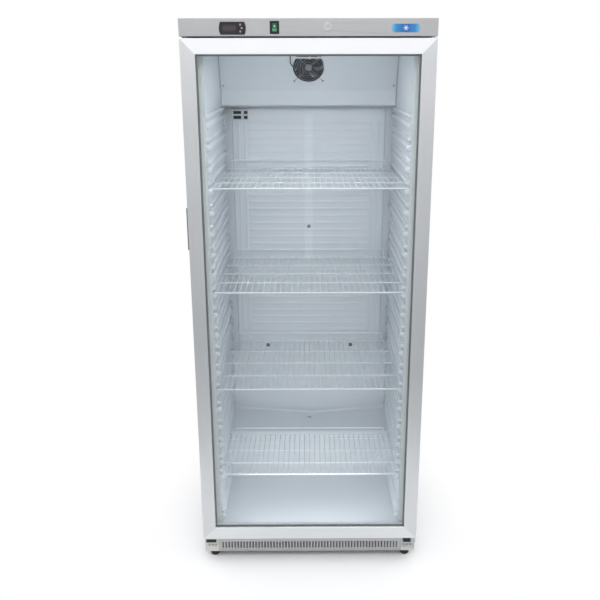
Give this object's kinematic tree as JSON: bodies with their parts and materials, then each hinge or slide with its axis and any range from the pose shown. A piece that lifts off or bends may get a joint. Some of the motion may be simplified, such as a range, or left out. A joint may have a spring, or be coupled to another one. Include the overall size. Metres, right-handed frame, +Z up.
{
  "type": "reach-in refrigerator",
  "caption": "Upright glass-door refrigerator with wire shelves on moulded ledges, a control panel with lock and light switch, and a slotted plinth on feet and rollers.",
  "frame": {"origin": "on the floor, under the middle of the footprint taken between the cabinet sides and from the door front to the rear spacers", "axes": "+Z up, the door faces -Y, +X to the right seen from the front"},
  "size_m": [0.7804, 0.7003, 1.895],
  "materials": {
    "coated_steel": "fine-textured pale grey coating",
    "galvanised_steel": "dull galvanised sheet",
    "foam": "rigid foam",
    "liner_plastic": "smooth moulded white",
    "evaporator_metal": "mill finish",
    "cover_steel": "satin white coating",
    "screw_steel": "zinc plated",
    "fan_plastic": "moulded black",
    "guard_wire": "dark coated wire",
    "lead_rubber": "black sheath",
    "holder_plastic": "moulded pale grey",
    "probe_metal": "drawn tube",
    "lamp_plastic": "milky diffuser",
    "stainless_steel": "horizontal brushed grain",
    "controller_plastic": "moulded black",
    "display_plastic": "dark tinted window",
    "key_plastic": "pale pinkish caps",
    "bezel_plastic": "moulded black",
    "rocker_plastic": "translucent green",
    "lock_metal": "nickel plated",
    "badge_plastic": "plain domed plate",
    "blank_plastic": "moulded black",
    "hinge_steel": "zinc-plated plate",
    "rail_aluminium": "satin anodised",
    "corner_casting": "die-cast",
    "bush_plastic": "natural nylon",
    "pane_glass": "clear, faint green edge",
    "edge_sealant": "black sealant",
    "spacer_metal": "bright roll-formed",
    "gasket_vinyl": "soft pale grey vinyl",
    "grip_plastic": "moulded grey",
    "shelf_wire": "white dipped coating",
    "foot_plastic": "moulded black",
    "roller_rubber": "hard black tread",
    "compressor_paint": "black stove enamel",
    "mount_rubber": "black grommets",
    "copper_tube": "drawn copper, brass density stands in",
    "drain_plastic": "natural tube",
    "tray_plastic": "moulded dark grey"
  },
  "bodies": {
    "cabinet": {"outer_shell": "coated_steel", "rear_panel": "galvanised_steel", "step_panel": "galvanised_steel", "top_cover": "coated_steel", "insulation": "foam", "liner": "liner_plastic", "breaker_strip": "liner_plastic", "evaporator": "evaporator_metal", "fan_cover": "cover_steel", "screws": "screw_steel", "fan_frame": "fan_plastic", "fan_guard": "guard_wire", "leads": "lead_rubber", "probe_holder": "holder_plastic", "probe": "probe_metal", "lamp": "lamp_plastic", "control_panel": "stainless_steel", "controller_case": "controller_plastic", "display_window": "display_plastic", "switch_bezel": "bezel_plastic", "lock_barrel": "lock_metal", "badge": "badge_plastic", "hinge_blanks": "blank_plastic", "upper_hinge": "hinge_steel", "lower_hinge": "hinge_steel", "door_stop": "blank_plastic", "base_frame": "galvanised_steel", "plinth_grille": "stainless_steel", "plinth_ends": "stainless_steel", "compressor": "compressor_paint", "compressor_mounts": "mount_rubber", "condenser": "compressor_paint", "refrigerant_lines": "copper_tube", "drain_tube": "drain_plastic", "evaporation_tray": "tray_plastic"},
    "door": {"rail_left": "rail_aluminium", "rail_right": "rail_aluminium", "rail_top": "rail_aluminium", "rail_bottom": "rail_aluminium", "corner_keys": "corner_casting", "hinge_bushes": "bush_plastic", "glass_panes": "pane_glass", "pane_seal": "edge_sealant", "spacer_bar": "spacer_metal", "door_gasket": "gasket_vinyl", "side_grip": "grip_plastic"},
    "lock": {"lock_plug": "lock_metal"},
    "rocker": {"light_rocker": "rocker_plastic"},
    "key_up": {"key_up": "key_plastic"},
    "key_set": {"key_set": "key_plastic"},
    "key_down": {"key_down": "key_plastic"},
    "fan": {"fan_rotor": "fan_plastic"},
    "shelf_1": {"shelf_1": "shelf_wire"},
    "shelf_2": {"shelf_2": "shelf_wire"},
    "shelf_3": {"shelf_3": "shelf_wire"},
    "shelf_4": {"shelf_4": "shelf_wire"},
    "foot_left": {"foot_left": "foot_plastic"},
    "foot_right": {"foot_right": "foot_plastic"},
    "roller_left": {"roller_left": "roller_rubber"},
    "roller_right": {"roller_right": "roller_rubber"}
  },
  "joints": [
    {"name": "door_hinge", "type": "hinge", "parent": "cabinet", "child": "door", "pos_m": [0.3778, -0.3325, 0], "axis": [0, 0, 1], "range_deg": [0, 110]},
    {"name": "lock_turn", "type": "hinge", "parent": "cabinet", "child": "lock", "pos_m": [0.057, -0.3475, 1.87], "axis": [0, 1, 0], "range_deg": [0, 90]},
    {"name": "light_switch", "type": "hinge", "parent": "cabinet", "child": "rocker", "pos_m": [-0.1015, -0.3405, 1.868], "axis": [1, 0, 0], "range_deg": [0, 10]},
    {"name": "key_up_press", "type": "slide", "parent": "cabinet", "child": "key_up", "axis": [0, 1, 0], "range_m": [0, 0.0008]},
    {"name": "key_set_press", "type": "slide", "parent": "cabinet", "child": "key_set", "axis": [0, 1, 0], "range_m": [0, 0.0008]},
    {"name": "key_down_press", "type": "slide", "parent": "cabinet", "child": "key_down", "axis": [0, 1, 0], "range_m": [0, 0.0008]},
    {"name": "fan_spin", "type": "hinge", "parent": "cabinet", "child": "fan", "pos_m": [0, 0.14914, 1.7526], "axis": [0, -0.9063, -0.4226], "continuous": true},
    {"name": "shelf_1_slide", "type": "slide", "parent": "cabinet", "child": "shelf_1", "axis": [0, -1, 0], "range_m": [0, 0.034]},
    {"name": "shelf_2_slide", "type": "slide", "parent": "cabinet", "child": "shelf_2", "axis": [0, -1, 0], "range_m": [0, 0.034]},
    {"name": "shelf_3_slide", "type": "slide", "parent": "cabinet", "child": "shelf_3", "axis": [0, -1, 0], "range_m": [0, 0.034]},
    {"name": "shelf_4_slide", "type": "slide", "parent": "cabinet", "child": "shelf_4", "axis": [0, -1, 0], "range_m": [0, 0.034]},
    {"name": "foot_left_height", "type": "slide", "parent": "cabinet", "child": "foot_left", "axis": [0, 0, -1], "range_m": [0, 0.015]},
    {"name": "foot_right_height", "type": "slide", "parent": "cabinet", "child": "foot_right", "axis": [0, 0, -1], "range_m": [0, 0.015]},
    {"name": "roller_left_spin", "type": "hinge", "parent": "cabinet", "child": "roller_left", "pos_m": [-0.352, 0.2645, 0.02], "axis": [1, 0, 0], "continuous": true},
    {"name": "roller_right_spin", "type": "hinge", "parent": "cabinet", "child": "roller_right", "pos_m": [0.352, 0.2645, 0.02], "axis": [1, 0, 0], "continuous": true}
  ]
}
